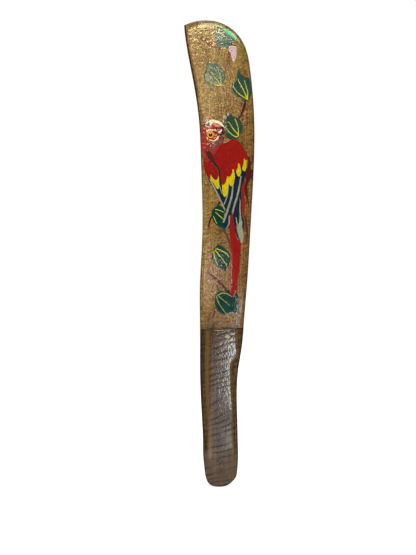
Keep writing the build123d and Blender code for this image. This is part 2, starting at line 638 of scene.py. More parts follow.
def peg_wood(name, paleness):
    """End grain: rings and pores, pale or stained like the slabs."""
    material, shader, where = new_material(name)
    pores = scaled_noise(where, (2500, 60, 2500), 3)
    rings = scaled_noise(where, (300, 20, 900), 2)
    figure = weighted_sum((pores, 0.5), (rings, 0.5))
    pale_stops = (0.35, (112, 98, 64)), (0.5, (158, 148, 110)), (0.65, (182, 172, 134))
    stained = steps(figure, (0.35, (46, 32, 20)), (0.65, (88, 64, 40)))
    colour = blend_colours(paleness, stained, steps(figure, *pale_stops))
    fill(shader, {"Base Color": colour})
    varnish(shader, where, 0.02, 0.2, (420, 420, 300))
    return material


def paint(name, main, other, speck_colour=None, relief=0.045, scale=420, roughness=0.055):
    """Brushed enamel under the varnish: streaks of a second tone along the brush's path.

    Shapes with a tone above 0 go towards the speck colour, in specks, which on the leaves are painted
    glare."""
    material, shader, where = new_material(name)
    path = node(tree_of(where), "Attribute", attribute_name="brush", attribute_type="GEOMETRY")
    streaks = scaled_noise(path.outputs["Vector"], (1.5, 0.16, 1), 3, 0.6)
    blotches = scaled_noise(where, (300, 300, 300), 3, 0.6)
    mottled = weighted_sum((streaks, 0.65), (blotches, 0.35))
    colour = blend_colours(narrow(mottled, 0.38, 0.64), rgb(*main), rgb(*other))
    if speck_colour:
        specks = scaled_noise(where, (800, 800, 800), 2, 0.6)
        colour = tinted(colour, "tone", narrow(specks, 0.24, 0.6), speck_colour)
    normal = bump(streaks, 0.05, varnish(shader, where, relief, roughness, (scale, scale, scale)))
    fill(shader, {"Base Color": colour, "Normal": normal})
    return material


# --- the wooden pieces ----------------------------------------------------
def both_sides(**values):
    """Each point's values, for the solid's vertices on the one side and then on the other."""
    return {name: np.concatenate([value, value]) for name, value in values.items()}


def blade_rim_shade(points):
    """Painted shade: the dark spine line, strongest near the tip, the darker, browner cutting edge and the
    joint's shadow line.
    """
    high = smooth((points[:, 1] - 230) / 90)
    spine = smooth((1.3 + 0.8 * high - distance(SPINE, points)) / 0.5) * (0.5 + 0.42 * high)
    edge = share(1 - distance(EDGE, points) / 2.4) ** 1.5 * 0.8
    # Painted shadow along the joint with the slabs.
    seam = 0.8 * np.exp(-np.abs(above_slab_top(points)) / 0.7)
    # A faint darker patch right of the tail's foot.
    cloud = 0.17 * np.exp(-(((points[:, 0] - 22) / 8) ** 2) - ((points[:, 1] - 122) / 17) ** 2)
    return np.max([spine, edge, seam, cloud], axis=0)


def blade_shade(points):
    """The darker, redder wood towards the cutting edge and under the wings."""
    x, z = points[:, 0], points[:, 1]
    right = smooth((x - 4 - 0.035 * np.maximum(z - 200, 0)) / 26)
    low = 0.3 * smooth((215 - z) / 60) * smooth((x - 12) / 14) + 0.45 * smooth((104 - z) / 14)
    beyond_tail = smooth((x - 13) / 6)
    under = (1 - beyond_tail) * smooth((190 - z) / 14) + beyond_tail * smooth((144 - z) / 12)
    low = low + 0.65 * smooth((x + 5) / 7) * under
    return share(0.75 * right + low + 0.18 * ripple(points, 22, 70, 5.5))


def blade_olive(points):
    """The greenish stain in the wood by the tip's leaf."""
    x, z = points[:, 0], points[:, 1]
    return 0.42 * np.exp(-(((x - 22) / 7) ** 2) - ((z - 353) / 17) ** 2)


def make_blade():
    """The board: the blade, and the tang that runs to the butt between the slabs."""
    flat = flat_mesh(BOARD_LOOP, 1.15, (0.12, 0.35, 0.7, 1.2, 1.9, 2.8), PEG_HOLES)
    points = flat[0]
    height = blade_height(points)
    values = both_sides(
        rim=blade_rim_shade(points), shade=blade_shade(points), olive=blade_olive(points)
    )
    pieces = [between(flat, -height, height)]
    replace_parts(solid("machete_blade", pieces, values, blade_wood(), "blade_wood"), "blade")


def make_slab(node_name, side, seed):
    """One half of the grip, with its face towards -Y (side -1) or +Y (side 1)."""
    flat = flat_mesh(slab_loop(), 0.8, (0.15, 0.4, 0.8, 1.3, 1.9), PEG_HOLES)
    points = flat[0]
    outer = side * slab_height(points, seed)
    inner = np.full(len(points), side * BOARD_FACE)
    at_spine, at_edge, at_butt = bevel_shares(points)
    # Painted shade along the rims, and at the top end by the joint with the blade.
    rim_shade = share(1 - 3.2 * np.minimum(np.minimum(at_spine, at_edge), 2 * at_butt))
    rim_shade = np.maximum(rim_shade, np.exp(above_slab_top(points) / 1.3))
    # Painted highlight along the ridges where the bevels meet the flat.
    spine_ridge = np.exp(-(((at_spine - 1.02) / 0.27) ** 2))
    edge_ridge = 0.6 * np.exp(-(((at_edge - 1) / 0.12) ** 2))
    ridge = (spine_ridge + edge_ridge) * smooth(at_butt - 0.6)
    # A painted grey sheen towards the butt.
    end_grain = smooth((2.4 - at_butt) / 1.3)
    # Where the creases get painted shade.
    creases = slab_creases(points, seed)
    values = both_sides(rim=rim_shade, ridge=ridge, crease=creases, end_grain=end_grain)
    pieces = [between(flat, outer, inner) if side < 0 else between(flat, inner, outer)]
    made = solid("grip_" + node_name, pieces, values, HANDLE_WOOD, "handle_wood")
    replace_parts(made, node_name)


def make_peg(node_name, material):
    """An oval peg through the grip, cut off flush with both slabs."""
    flat = flat_mesh(peg_loop(node_name, PEG_GAP), 0.5, (0.1, 0.25, 0.5))
    height = GRIP_FACE - PEG_RECESS - round_off(flat[2], PEG_ROUND)
    made = solid("grip_" + node_name, [between(flat, -height, height)], {}, material, "peg_wood")
    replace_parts(made, node_name)


HANDLE_WOOD = handle_wood()
make_blade()
make_slab("front_slab", -1, FRONT_SEED)
make_slab("back_slab", 1, BACK_SEED)
make_peg("upper_peg", peg_wood("peg_wood", 0.85))
make_peg("lower_peg", peg_wood("stained_peg_wood", 0.0))

# --- paint ----------------------------------------------------------------
RAGGEDNESS = 0.16  # mm by which a painted edge wanders
LAYER = 0.03  # mm that each layer of paint adds
FILM_RIM, FILM_CROWN = 0.01, 0.02  # mm: a film's thickness at its rim, and what its middle adds
FILM_ROOT = 0.1  # mm that each film goes into the wood
Shape = collections.namedtuple("Shape", "loop line lean tone")


def patch(points, lean=90.0, tone=0.0):
    """A painted area: its outline, the brush's lean from +X in degrees, and its tone, 0 to 1."""
    return Shape(outline(points, 0.8), None, math.radians(lean), tone)


def stroke(points, widths, tone=0.0):
    """A brush stroke along a smooth line, with round ends. widths are spread evenly along it."""
    line = through(np.array(points, float), False, 0.7)
    along = np.gradient(line, axis=0)
    along /= np.linalg.norm(along, axis=1)[:, None]
    left = leftward(along)
    places = np.linspace(0, 1, len(line))
    half = np.interp(places, np.linspace(0, 1, len(widths)), widths)[:, None] / 2
    turns = np.radians([45, 0, -45])[:, None]
    end = line[-1] + half[-1] * (np.sin(turns) * left[-1] + np.cos(turns) * along[-1])
    start = line[0] - half[0] * (np.sin(turns) * left[0] + np.cos(turns) * along[0])
    loop = np.vstack([line + half * left, end, (line - half * left)[::-1], start])
    return Shape(loop, line, None, tone)


def dot(x, z, diameter):
    """A round dab of paint."""
    return Shape(oval(x, z, diameter, diameter, 20), None, 0.4, 0.0)


def flecks(count, low, high, seed):
    """Short brush flecks spread over a box."""
    random = np.random.default_rng(seed)
    made = []
    for _ in range(count):
        x, z = random.uniform(low, high)
        dx, dz = random.normal(0, 0.5, 2)
        width = random.uniform(0.45, 0.9)
        line = [(x - dx, z - dz), (x, z), (x + dx, z + dz)]
        made.append(stroke(line, (0.5 * width, width, 0.6 * width)))
    return made


def ragged(loop, seed):
    """The loop with the small unevenness that a brush leaves."""
    along = np.roll(loop, -1, axis=0) - np.roll(loop, 1, axis=0)
    along /= np.linalg.norm(along, axis=1)[:, None] + 1e-9
    return loop + RAGGEDNESS * leftward(along) * ripple(loop, 1.3, 1.3, seed)[:, None]


def brush_path(shape, points, seed):
    """Across the brush's path and along it, in mm, and a number of the shape's own."""
    if shape.line is None:
        along = points @ np.array([math.cos(shape.lean), math.sin(shape.lean)])
        across = points @ np.array([-math.sin(shape.lean), math.cos(shape.lean)])
    else:
        across, along = nearest(shape.line, points)
    return np.stack([across, along, np.full(len(points), seed)], 1)


def film(name, layer, shapes, material, slot):
    """One piece: closed films of paint on the blade's face, thinning out at their rims."""
    pieces, paths, tones = [], [], []
    for index, shape in enumerate(shapes):
        seed = 7.3 * index + 31.7 * layer
        loop = ragged(anticlockwise(shape.loop), seed)
        flat = flat_mesh(loop, 0.9, (0.18, 0.4))
        points, depth = flat[0], flat[2]
        board = blade_height(points)
        top = board + LAYER * layer + FILM_RIM + FILM_CROWN * smooth(depth / 0.5)
        pieces.append(between(flat, -top, FILM_ROOT - board))
        paths.append(np.tile(brush_path(shape, points, seed), (2, 1)))
        tones.append(np.full(2 * len(points), shape.tone))
    values = {"brush": np.vstack(paths), "tone": np.concatenate(tones)}
    solid(name, pieces, values, material, slot, sharp=60)


# --- the painting's shapes ------------------------------------------------
TWIGS = [
    stroke([(-22.6, 368.9), (-17.9, 364.8), (-12.1, 361.3), (-6.7, 357.7), (0.5, 354.5), (3.2, 354.1)
        ], (0.9, 2.0, 2.6, 2.9, 2.2, 0.9), 0.35),
    stroke([(9.3, 352), (9.5, 346.9), (7.7, 340.2), (5.9, 333), (5.65, 331.2)
        ], (1.8, 2.2, 2.0, 1.5, 1.0), 0.4),
    stroke([(0.9, 316.9), (5.4, 312.4), (10.6, 306.8)], (1.6, 1.7, 1.0), 0.5),
    stroke([(-1.1, 163.2), (-1.3, 161.3)], (0.7, 1.2), 0.2),
    stroke([(-8, 145), (-8.6, 141.25), (-11.1, 135.4), (-12.75, 129.6), (-13, 123)
        ], (0.9, 1.6, 1.8, 1.6, 0.8), 0.6),
    stroke([(11.7, 363.1), (13.9, 361.7), (17.1, 357.7)], (1.2, 1.5, 1.0), 1.0),
]
BRANCHES = [
    stroke([(25.3, 301.7), (23.4, 294.8), (20.6, 288.6), (20, 286.6)], (2.8, 3.6, 3.4, 2.8, 2.4)),
    stroke([(-1.2, 200.4), (0.8, 203.2)], (1.6, 2.0)),
    stroke([(-7.4, 189.2), (-9.25, 184.6), (-10.3, 178.3)], (1.5, 1.8, 1.3)),
    stroke([(3.5, 176.2), (7.3, 170.4), (9.8, 163.3), (10.2, 160)], (1.2, 1.6, 1.5, 1.1), 0.3),
    stroke([(-10.5, 133.2), (-5, 128.4), (0, 124), (4, 120.4), (7, 117)], (1.0, 2.2, 2.8, 2.8, 2.2), 0.35),
    stroke([(-2.4, 121), (-1.4, 116.8)], (1.2, 1.6), 0.2),
    stroke([(-3.4, 98.8), (-4.6, 93.8), (-5.9, 89.7)], (1.0, 1.6, 1.2), 0.3),
    patch([(28.6, 249), (30.3, 245.4), (31.2, 240.6), (31.2, 236.1), (33.3, 234.4, CORNER),
        (33.4, 227.8, CORNER), (31.4, 225.8), (28.6, 221.9), (27.9, 216.5), (28.3, 210.1), (28.8, 203.8),
        (30.1, 197.8, CORNER), (29.2, 197.8, CORNER), (27.9, 203.2), (25.9, 209.5), (24.9, 214.6),
        (25.3, 219.7), (26.4, 224.2), (25.6, 230.4), (27.5, 237.1), (28.5, 244.7), (28, 248.8)], 95),
    patch([(26.4, 188.8), (27.4, 182.4), (28.5, 176), (28.3, 169.6), (27, 161.5, CORNER),
        (26.25, 162.2), (26.9, 171.2), (26.1, 177.6), (25.4, 185.6), (25.1, 188.8)], 95, 0.2),
]
# On these and the next leaves, a tone above 0 makes pale grey-green specks: painted glare.
SPECKLED_LEAVES = [
    patch([(-5.6, 381.2, CORNER), (-1.5, 380.4), (2.8, 378.4), (6, 375.4), (10.6, 372), (15.6, 366.6),
        (17.4, 361.3, CORNER), (14.8, 362.6), (12.6, 361.7), (10.4, 358.1), (9, 353.6, CORNER),
        (4.1, 354.5), (0.9, 355.9), (-3.5, 359.9), (-4.4, 365.3), (-3.6, 372), (-3.2, 377.4)], 40, 1.0),
    patch([(-12, 343.1, CORNER), (-10.3, 341.5), (-4.9, 339.7), (0.5, 337.3), (4.5, 333), (5.9, 328.1),
        (4.75, 322.7), (2.1, 318), (-1.3, 317.3), (-5.8, 317.3), (-11.2, 320), (-14.3, 323.1),
        (-15.2, 328.5), (-13.2, 333), (-12.1, 337.9)], 125, 0.65),
    patch([(10.8, 290.8, CORNER), (14.1, 287.3), (18.3, 286.2), (21.4, 282.7), (22.9, 276.2),
        (21.6, 271.6), (19.9, 268.5), (17.6, 265.4), (13, 265), (8.5, 266.2), (5.4, 271.6), (4.2, 279.5),
        (5.8, 286.6), (7.7, 289.3)], 115, 0.15),
    patch([(-1.3, 161.5, CORNER), (3.5, 159.2), (8.1, 155.4), (10.8, 150.8), (10.8, 145), (8.5, 140),
        (6, 134.8, CORNER), (2.7, 136.7), (-1.5, 139.6), (-5.25, 143.3), (-7.1, 147.9), (-6.3, 152.5),
        (-5, 157.1), (-2.75, 160)], 125, 0.08),
    patch([(-1, 116.4), (3.3, 115.5), (6.8, 116.4), (11, 115.8), (17.4, 113), (18.9, 109.2),
        (17.1, 105.6), (18.7, 99.9), (18.7, 94.2), (16.2, 93.4), (12.9, 94.5), (9, 92.5), (4.3, 92.2),
        (0, 94.5), (-3.2, 98.5), (-4.4, 106), (-3.4, 111), (-1.75, 115.7)], 130, 0.0),
]
SMOOTH_LEAVES = [
    patch([(19.1, 334.8, CORNER), (21.3, 329.9), (25.2, 326.5), (29.2, 325.8), (30.9, 320.9),
        (32.1, 312.4), (30.5, 306.1), (27.4, 302.7), (24.5, 302.7), (21.6, 305.7), (17.5, 307.2),
        (13.5, 310.6), (11.5, 314.6), (12.6, 318.2), (15.7, 322.2), (16.9, 328.1)], 110, 0.2),
    patch([(-0.7, 200), (2.6, 198.8), (4.7, 196.3), (5.1, 190.9), (3.9, 182.5), (7.3, 178.7),
        (6.2, 173.7, CORNER), (2.7, 176.7), (-1.5, 179.6), (-4, 181.7), (-6.5, 185.5), (-7.7, 190.5),
        (-6.5, 195.5), (-3.2, 198.8)], 120, 0.0),
]
# Painted glare: the pale yellow-green rim at the top of the tip leaf.
LEAF_EDGE_GLARE = [
    patch([(-5, 380.9, CORNER), (-1.5, 380.1), (2.8, 378.1), (6, 375.2), (8.6, 373.1, CORNER),
        (5.5, 374), (2.8, 373.8), (0, 376.4), (-3.6, 377.6)], -25),
]
# Painted highlight: a bright emerald band along the tip leaf's upper edge.
LEAF_HIGHLIGHT = [
    patch([(2.8, 373.4, CORNER), (5.5, 374), (8.5, 373), (12.6, 369.6), (15.8, 365.8),
        (17.3, 361.8, CORNER), (14.2, 364.6), (10.4, 367.8), (6.5, 371.2)], -45),
]
CALYX = [
    dot(11.8, 359.7, 2.8),
    dot(15.2, 357.8, 1.9),
    stroke([(0.9, 358.3), (2.6, 358.9), (4.4, 359.2)], (1.4, 2.2, 0.7)),
]
THIN, FINE = (0.9, 0.75, 0.5), (0.7, 0.6)  # widths of the shorter veins
VEINS = [
    stroke([(2.7, 355.4), (5.4, 355), (9.2, 353.6)], FINE, 0.8),
    stroke([(2.1, 319.1), (1.4, 326.3), (-0.85, 333), (-1.5, 335.2)], FINE, 0.3),
    stroke([(0.9, 319.3), (-3.5, 325.4), (-7.6, 330.5), (-8.5, 331.2)], FINE, 0.3),
    stroke([(1.8, 318.4), (-1.3, 318.2), (-4.9, 319.3), (-9.8, 323.1), (-11.6, 325.6)
        ], (1.3, 0.9, 0.5), 0.3),
    stroke([(27.8, 304.3), (28.1, 311.9), (27, 315.5), (24.9, 323.1)], (1.1, 0.8, 0.5)),
    stroke([(27.8, 304.7), (24.3, 312.8), (20, 320.9), (18.4, 324.5)], (1.1, 0.8, 0.5)),
    stroke([(27.6, 304.8), (24.3, 306.5), (17.5, 311.9), (14.2, 316.9), (13.9, 318)], (1.1, 0.8, 0.5)),
    stroke([(18.9, 269.3), (18.9, 274.7), (17.4, 280.8), (15.7, 285.4)], THIN),
    stroke([(18.5, 270), (14.1, 275), (10.3, 280.8), (8.35, 282.3)], (1.1, 0.9, 0.6)),
    stroke([(19.1, 268.9), (16.8, 267.3), (14.1, 268.7), (9.5, 272.7), (5.8, 277.3)], (1.1, 0.9, 0.6)),
    stroke([(-3.6, 195.9), (1.8, 194.4), (4.3, 193)], FINE),
    stroke([(-3.6, 193), (-0.7, 190.5), (4.3, 185.9)], FINE),
    stroke([(-5.7, 189.2), (-3.4, 183.8), (-2.4, 182.1)], FINE, 0.4),
    stroke([(-3.2, 157.3), (2.25, 155.2), (7.7, 151.7), (9.75, 148.75)], THIN),
    stroke([(-4, 155.6), (1, 149.6), (6, 142.9), (7, 141.5)], THIN),
    stroke([(-5.25, 154.2), (-5, 150.4), (-2.75, 144.2), (-1.5, 141.7)], THIN),
    stroke([(-0.5, 111.9), (3.3, 113.3), (8.3, 112.4), (12.2, 109.9)], (0.9, 0.7, 0.5), 0.6),
    stroke([(-1.75, 111.2), (2.9, 107.4), (7.9, 103.1), (11.1, 100.3)], (0.7, 0.5, 0.35), 0.9),
    stroke([(-2.8, 110.3), (-1, 104.6), (2.2, 99.2), (6.8, 93.1)], (0.7, 0.55, 0.45), 0.8),
]
BUD = [
    patch([(10, 356.6), (13.4, 357.2), (16.6, 356.8), (17.1, 352.3), (16.6, 346.2),
        (14.9, 341.6, CORNER), (13, 343.6), (11.9, 347.2), (11.3, 350.6), (9.9, 351.6), (9.7, 354)
        ], 95, 0.9),
]
BLUE_FEATHERS = [
    patch([(-10.7, 227.1), (-7.4, 220), (-3.2, 211.7), (1, 204.2), (4, 198), (5.6, 194.5), (5.8, 190),
        (3.5, 182.5), (6, 176, CORNER), (9.9, 177.5), (14, 178.5), (17, 180), (20.5, 180),
        (24.2, 175, CORNER), (24.4, 184), (22.6, 191.3), (22.2, 197.1), (22.2, 207.5), (22, 215.9),
        (23.9, 221.7), (25.6, 229), (27, 239), (22, 240), (12, 236), (0, 229)], 75),
    stroke([(15.2, 188), (15.2, 181), (16, 176), (17.5, 171), (20.4, 163.8)], (2.6, 2.2, 1.7, 1.5, 0.6)),
]
PALE_FEATHERS = [
    stroke([(-9, 225.5), (-4.5, 216.7), (1.8, 203.8), (5.5, 195.5)], (1.3, 1.6, 1.3)),
    stroke([(0.1, 220), (1.8, 214.6), (2.6, 211.3)], (0.8, 1.0, 0.8)),
    stroke([(9.1, 222.5), (8.7, 215.9), (7.6, 208.4), (4.7, 200.5)], (0.9, 1.2, 0.9), 0.6),
    stroke([(13.5, 219.2), (12.6, 210.5), (10.1, 200.9), (7.4, 192.5), (4.3, 183.4)], (1.5, 1.7, 2.0, 1.6)),
    stroke([(21.4, 228.4), (19.7, 217.5), (17.6, 208.4), (14.9, 199.6), (12.2, 188.8)
        ], (1.2, 1.9, 1.9, 1.5)),
    stroke([(10.1, 189.2), (9.4, 181.3), (6.6, 176.3)], (1.7, 1.5, 0.7)),
    patch([(20.1, 207.8), (21.1, 203.4), (21.1, 195), (22, 186.7), (22.8, 182.5), (22.5, 178.7),
        (23.5, 173.7), (24, 168.3), (22.5, 161.6, CORNER), (21, 165), (19.6, 169.6), (18.1, 175.4),
        (17.9, 178.7), (19.5, 183), (20, 190.9), (19.7, 197), (20.3, 203.4)], 85, 0.3),
    stroke([(16.6, 188), (17.2, 184.6), (17.8, 180.9)], (0.8, 1.2)),
]
TAIL = [
    patch([(12.8, 193.8), (11.6, 190.5), (10.75, 183.4), (10.3, 175), (11, 166.6), (11.4, 155.8),
        (11.7, 145), (11.4, 134.9), (11.3, 120), (11, 112.1), (13.3, 109.2), (15.8, 112.4), (17.8, 117.8),
        (18.1, 126.6), (19.4, 134.9), (20.4, 147.4), (21.3, 158.3), (21.3, 163.3), (17.7, 167),
        (15.8, 173.3), (14.6, 182.5), (13.5, 188.4)], 88),
    patch([(25.75, 225.5), (22.2, 218), (22.4, 211), (22, 203.4), (22.2, 197.1), (22.6, 191.3),
        (23.5, 189.6), (25.1, 195), (25.5, 203.4), (24.7, 211.7), (25.5, 220)], 88, 0.1),
]
SLIP = [
    stroke([(18.5, 151.4), (20.9, 150.7)], (0.6, 1.3)),
]
WINGS = [
    patch([(-15.1, 247), (-15.3, 240.9), (-14, 233), (-11.1, 228), (-9.7, 226.7, CORNER),
        (-8.6, 228.4), (-8.4, 230.7, CORNER), (-6.1, 226.7), (-3.2, 224.8), (-1.2, 227.1), (-0.9, 232.5),
        (-2.8, 236.7), (-6.5, 241.3), (-8.6, 246), (-11, 252)], 110),
    patch([(-2, 262), (5, 262), (12, 265.3), (18, 264), (24, 256.5), (27.5, 250.5), (28.2, 245.7),
        (26.25, 244.4), (24.4, 246.3, CORNER), (23.9, 240.9), (22.2, 238.2), (20.1, 240),
        (18.9, 241.9, CORNER), (17.8, 235.9), (16, 233.2), (14.7, 235), (13.25, 235.5, CORNER),
        (12.2, 230.5), (10.1, 228), (8, 228.6, CORNER), (6, 222.1), (3.9, 219.8), (2.4, 221.7), (1.2, 230),
        (-0.3, 235.9), (-4.9, 241.7), (-8, 247), (-10.5, 253.5)], 75),
]
HEAD = [
    patch([(-13, 283.5), (-10.3, 286.6), (-7.3, 287.3), (-4.2, 285), (-1.1, 283.5), (3.1, 280.4),
        (5.4, 275.4), (5.6, 271.6), (4.9, 268), (4.4, 263, CORNER), (1, 259), (-4, 251), (-9, 244),
        (-14.2, 243), (-14.6, 248.5), (-16.9, 252.7), (-17.7, 259.7), (-18, 267.3), (-17.3, 273.9),
        (-15.3, 280)], 70, 0.35),
]
YELLOW_FEATHERS = [
    patch([(-8.4, 230), (-8.8, 227.1), (-5.3, 221.3), (-2.4, 216.7), (-1.3, 215.9), (-0.3, 216.7),
        (0, 219.2), (-0.2, 225.5), (-0.7, 229), (-4, 229)], 115),
    patch([(2.6, 222), (3, 216.7), (3.7, 210.5), (5.3, 208.3), (7.2, 210), (8.5, 216.3), (9.1, 221.7),
        (9, 229.4), (5, 229)], 80),
    patch([(13.25, 237), (15.1, 231.3), (15.3, 227.5), (14.1, 220.9), (12.8, 218.9), (11.4, 218.8),
        (9.5, 222.1), (8, 228.4), (9, 233)], 80),
    patch([(18.9, 243), (20.75, 238.4), (21.7, 233), (21.2, 230.5), (19.1, 228.2), (17.8, 229.6),
        (16.6, 233.8), (16.6, 238)], 80),
    patch([(24.4, 247.4), (26.9, 244.9), (26.9, 242.2), (27, 237.7), (25.9, 234.2), (24.5, 233.4),
        (22.6, 235.8), (23.5, 239), (23.5, 245.4)], 85),
]
HEAD_SHADE = [
    patch([(-11.4, 265), (-10.6, 260.5), (-9.4, 257), (-7, 254.4), (-4.2, 256.4), (0, 259.6),
        (4.3, 262.8, CORNER), (4.8, 266), (5, 269.6), (2.4, 270.6), (0, 269.4), (-1, 266.6), (-4, 263.6),
        (-8, 263)], 65, 0.2),
    patch([(-14.4, 281.6), (-12.6, 284), (-10.4, 286.2), (-8.2, 285), (-9.2, 280), (-11.6, 276.4),
        (-13.8, 277.4)], 60, 0.5),
]
BREAST_TOP = [
    stroke([(-11.2, 252.4), (-9, 248.6), (-6.3, 243.6)], (3.8, 5.4, 3.4)),
]
BREAST_TOP += flecks(9, (-0.5, 263), (4.2, 269.2), 31)
BREAST_TOP += flecks(9, (-10.6, 257), (-4.6, 263), 37)
BREAST_LINE = [
    stroke([(-7.2, 245.2), (-4.2, 240.8), (-0.7, 235.9), (0.6, 229.6), (1.2, 223.4), (2.3, 216.7)
        ], (2.6, 2.2, 1.6, 1.5, 1.6, 1.4)),
]
FACE_PALE = [
    patch([(-9.6, 281), (-9.6, 283.6), (-6.6, 284.6), (-2.9, 283.8), (0.8, 282.4), (3.5, 279.7),
        (5.3, 276.5), (5.9, 272.6, CORNER), (4.4, 276.3), (2.6, 277.9), (-0.6, 280.2), (-3.3, 281.1),
        (-6, 281.5), (-7.6, 279.4), (-9, 277.6)], -20, 0.4),
    stroke([(-1, 267.6), (-2.4, 265.2), (-4.4, 263.7)], (1.1, 1.7, 1.0)),
    stroke([(-9.9, 264.7), (-7.2, 263.7), (-4.6, 263.5)], (0.6, 0.9, 0.8)),
    stroke([(-11.6, 273.4), (-8.8, 274.6), (-5.9, 273.9)], (1.1, 1.6, 1.1)),
    stroke([(-9.9, 271.9), (-9.3, 272.6)], (0.8, 0.9)),
]
# Pale flecks left of the eye: painted glare on the red.
FACE_PALE += flecks(12, (-12.4, 265), (-10.4, 275.5), 9)
FACE_PINK = [
    patch([(-6.4, 280.6), (-3.6, 280.6), (-0.6, 279.6), (2.2, 277.4), (0.4, 276.8), (-5, 278.2)], 0),
    stroke([(-4.9, 270.4), (-3.4, 268.6), (-2.4, 269.6)], (1.0, 1.3, 0.8)),
    stroke([(-5.8, 266.4), (-4, 266.6), (-3, 267.2)], (0.8, 1.3, 0.8)),
]
# Pink flecks over the neck: painted glare.
FACE_PINK += flecks(12, (-11.4, 256), (-4.6, 263.6), 12)
FACE_PINK += [
    stroke([(-17.2, z), (-15.2, z + 0.8), (-13.2, z + 0.4)], (0.25, 0.4, 0.25))
    for z in (256, 260.4, 265.6, 271)
]
FACE_DARK = [
    stroke([(-7.2, 275.4), (-6.4, 276), (-5.4, 275.8)], (0.8, 1.4, 1.2)),
    stroke([(-4, 276.4), (-2.9, 275.8), (-2.3, 274.6)], (1.0, 1.6, 1.4)),
    stroke([(-5.2, 273.4), (-4.4, 272.2), (-2.6, 272)], (0.9, 1.6, 1.2)),
    stroke([(-1, 276.3), (1.6, 277), (3.9, 276), (4.1, 273), (2.2, 270.3), (-0.8, 270.7)
        ], (1.5, 1.8, 2.2, 2.4, 2.4, 1.5)),
    dot(-8.6, 269.6, 4.2),
]
GLINTS = [
    dot(-8.8, 270.6, 0.9),
    dot(-4, 274, 1.9),
    stroke([(-0.7, 271.9), (1.1, 272.6), (2.3, 274.2)], (1.1, 1.8, 1.0)),
]
GLINTS += flecks(26, (-13.8, 277), (-9, 287), 4)
GLINTS += [
    stroke([(x, z), (x + 0.4, z + 1.4), (x + 0.3, z + 2.8)], (0.3, 0.6, 0.3))
    for x, z in ((3.9, 281), (4.5, 285.6), (6.4, 285), (8.4, 288))
]

# Each paint: its main tone, its streaks' tone, the tone of its specks (on the leaves, painted glare),
# then the varnish's relief, features per metre and roughness.
# The pale grey-green of the leaves' specks: painted glare.
PALE_GREEN_GLARE = (108, 124, 114)
PAINTS = {
    "brown": ((92, 44, 36), (120, 66, 52), (170, 112, 96)),
    "maroon": ((60, 17, 17), (84, 27, 25), (124, 72, 64), 0.03),
    "speckled_green": ((0, 38, 35), (2, 60, 51), PALE_GREEN_GLARE, 0.027, 600, 0.062),
    "green": ((1, 46, 40), (4, 62, 52), PALE_GREEN_GLARE, 0.012),
    "olive": ((128, 132, 78), (168, 166, 106), None, 0.07),
    "emerald": ((58, 190, 134), (112, 232, 170)),
    "dark_green": ((10, 50, 40), (24, 70, 54)),
    "leaf_green": ((40, 112, 48), (64, 140, 66)),
    "vein": ((204, 198, 40), (168, 166, 40), (124, 134, 56)),
    "bud": ((196, 160, 170), (132, 94, 92), (214, 184, 194), 0.06),
    "blue": ((9, 22, 40), (22, 38, 64)),
    "pale": ((148, 152, 124), (112, 118, 98), (142, 152, 144)),
    "red": ((150, 19, 15), (116, 13, 11), (168, 78, 72), 0.025),
    "slip": ((40, 30, 28), (52, 40, 30)),
    "yellow": ((214, 192, 1), (164, 144, 1), None, 0.025),
    "mauve": ((70, 26, 28), (120, 64, 62), (158, 104, 102), 0.08, 480),
    "dark_brown": ((58, 26, 20), (78, 34, 24)),
    "dark_blue": ((34, 26, 34), (18, 36, 52)),
    "cream": ((234, 226, 186), (208, 196, 160), (240, 236, 208), 0.08),
    "pink": ((208, 104, 90), (218, 140, 126)),
    "black": ((22, 16, 18), (38, 30, 34), None, 0.02),
    "orange": ((206, 62, 22), (186, 46, 20)),
    "eye": ((232, 196, 44), (214, 150, 30)),
    "white": ((232, 222, 214), (206, 196, 190)),
}
# Each painted piece: its name, layer, shapes, paint, and material slot without "_paint".
FILMS = [
    ("twigs", 0, TWIGS, "brown", "brown"),
    ("branches", 1, BRANCHES, "maroon", "brown"),
    ("leaves_speckled", 2, SPECKLED_LEAVES, "speckled_green", "green"),
    ("leaves", 2, SMOOTH_LEAVES, "green", "green"),
    # The next two pieces are painted glare and a painted highlight on the tip leaf.
    ("leaf_edge_glare", 3, LEAF_EDGE_GLARE, "olive", "green"),
    ("leaf_highlight", 3, LEAF_HIGHLIGHT, "emerald", "green"),
    ("calyx", 4, CALYX, "dark_green", "green"),
    ("sprout", 5, [dot(13.7, 359, 2.0)], "leaf_green", "green"),
    ("veins", 3, VEINS, "vein", "yellow"),
    ("bud", 3, BUD, "bud", "pale"),
    ("blue_feathers", 3, BLUE_FEATHERS, "blue", "blue"),
    ("pale_feathers", 4, PALE_FEATHERS, "pale", "pale"),
    ("tail", 5, TAIL, "red", "red"),
    ("slips", 6, SLIP, "slip", "brown"),
    ("wings", 7, WINGS, "red", "red"),
    ("head", 8, HEAD, "red", "red"),
    ("yellow_feathers", 6, YELLOW_FEATHERS, "yellow", "yellow"),
    ("head_shade", 9, HEAD_SHADE, "mauve", "red"),
    ("breast_top", 10, BREAST_TOP, "dark_brown", "brown"),
    ("breast_line", 8, BREAST_LINE, "dark_blue", "blue"),
    ("face_white", 11, FACE_PALE, "cream", "pale"),
    ("face_pink", 12, FACE_PINK, "pink", "red"),
    ("face_dark", 14, FACE_DARK, "black", "brown"),
    ("eye_rim", 12, [dot(-8.3, 269.8, 7.9)], "orange", "red"),
    ("eye_ring", 13, [dot(-8.6, 269.6, 6.2)], "eye", "yellow"),
    ("glints", 15, GLINTS, "white", "pale"),
]
materials = {name: paint(name + "_paint", *tones) for name, tones in PAINTS.items()}
for name, layer, shapes, paint_name, slot in FILMS:
    film("painted_" + name, layer, shapes, materials[paint_name], slot + "_paint")

# --- the studio -----------------------------------------------------------
FLOOR_WIDTH = 7.0


